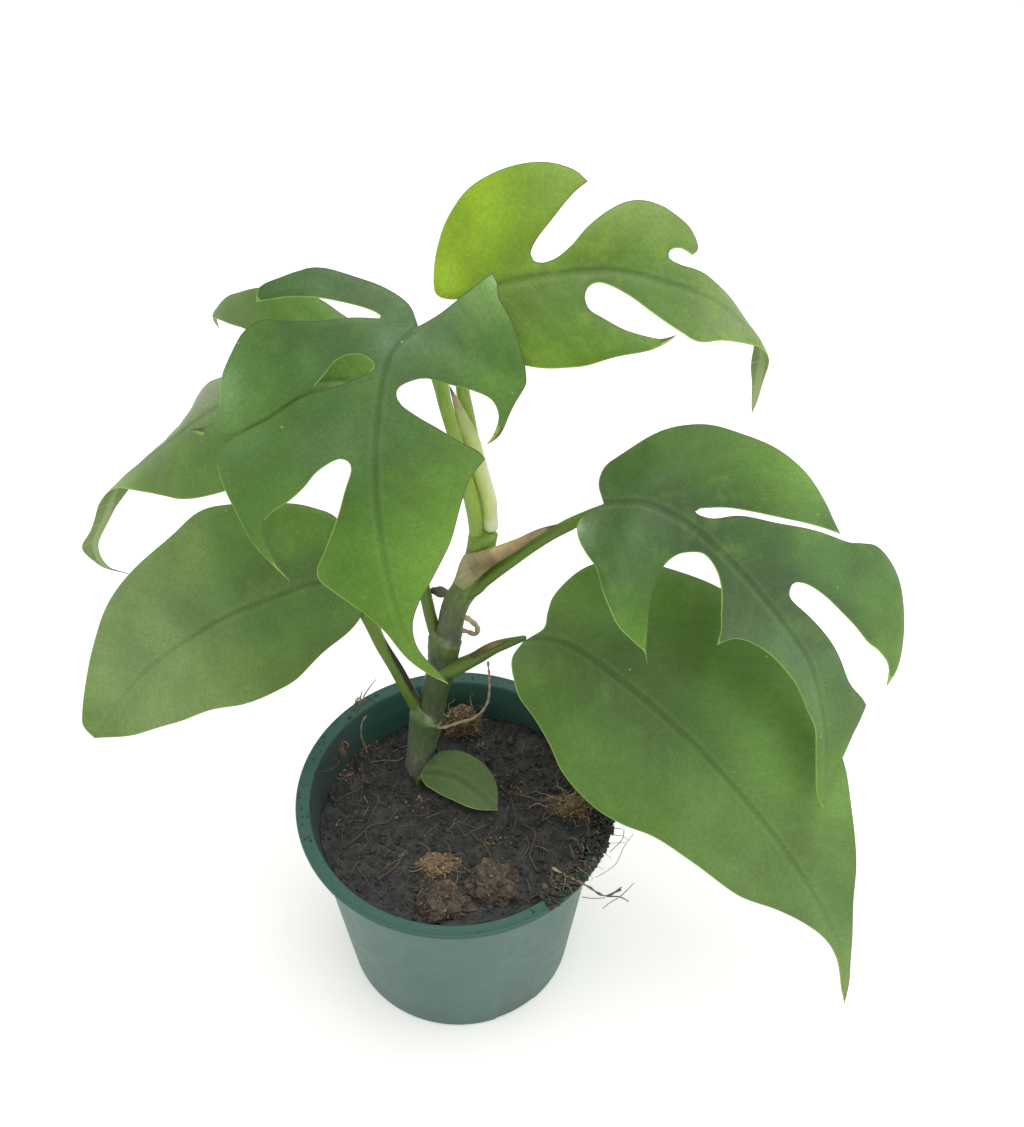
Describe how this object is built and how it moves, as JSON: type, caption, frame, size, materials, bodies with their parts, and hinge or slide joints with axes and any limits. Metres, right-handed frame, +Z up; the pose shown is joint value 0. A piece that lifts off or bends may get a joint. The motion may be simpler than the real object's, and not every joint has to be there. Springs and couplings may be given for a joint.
{
  "type": "potted mini monstera",
  "caption": "Young split-leaf climbing houseplant in a round nursery pot, with notched arching leaves on long stalks, rooted in dark potting mix.",
  "frame": {"origin": "centre of the pot's flat underside, where the pot stands", "axes": "+Z up along the pot's axis; -Y is the front, seen with the broadest leaf hanging over the rim on the right (+X)"},
  "size_m": [0.2807, 0.138, 0.2966],
  "materials": {
    "pot_plastic": "thin thermoformed blue-green plastic, faintly satin, paler down the body than on the flange",
    "potting_mix": "moist dark peat crumbs with fibres, fully rough",
    "coir": "dry reddish-brown coir fibre, fully rough",
    "root": "dry brown root bark, rough",
    "leaf": "satin living leaf, mid to deep green, paler margins and underside",
    "young_leaf": "satin young leaf, bright yellow-green",
    "stem": "grey-green fleshy stem with pale node rings and brown scars",
    "petiole": "smooth satin green leaf stalk",
    "pale_sheath": "thin pale yellow-green leaf sheath",
    "dry_sheath": "dry papery brown sheath remains"
  },
  "bodies": {
    "root": {"nursery_pot": "pot_plastic", "potting_mix": "potting_mix", "spilled_peat": "potting_mix", "peat_lump_front": "potting_mix", "peat_lump_right": "coir", "coir_clump": "coir", "fibre_clump_right": "coir", "fibre_clump_back": "coir", "main_stem": "stem", "petiole_1": "petiole", "petiole_2": "petiole", "petiole_3": "petiole", "petiole_4": "petiole", "petiole_5": "petiole", "petiole_6": "petiole", "small_petiole": "petiole", "leaf_1": "leaf", "leaf_2": "leaf", "leaf_3": "leaf", "leaf_4": "leaf", "leaf_5": "leaf", "leaf_6": "young_leaf", "small_leaf": "leaf", "green_sheath": "pale_sheath", "dry_sheath": "dry_sheath", "dry_strip_1": "dry_sheath", "dry_strip_3": "dry_sheath", "aerial_root_loop": "root", "aerial_root_nub": "root", "aerial_root_thread": "root", "stray_root_left": "root", "stray_root_right": "root", "surface_root_1": "root", "surface_root_2": "root", "surface_root_3": "root", "surface_root_4": "root", "surface_root_5": "root", "surface_root_6": "root", "surface_root_7": "root"}
  },
  "joints": []
}
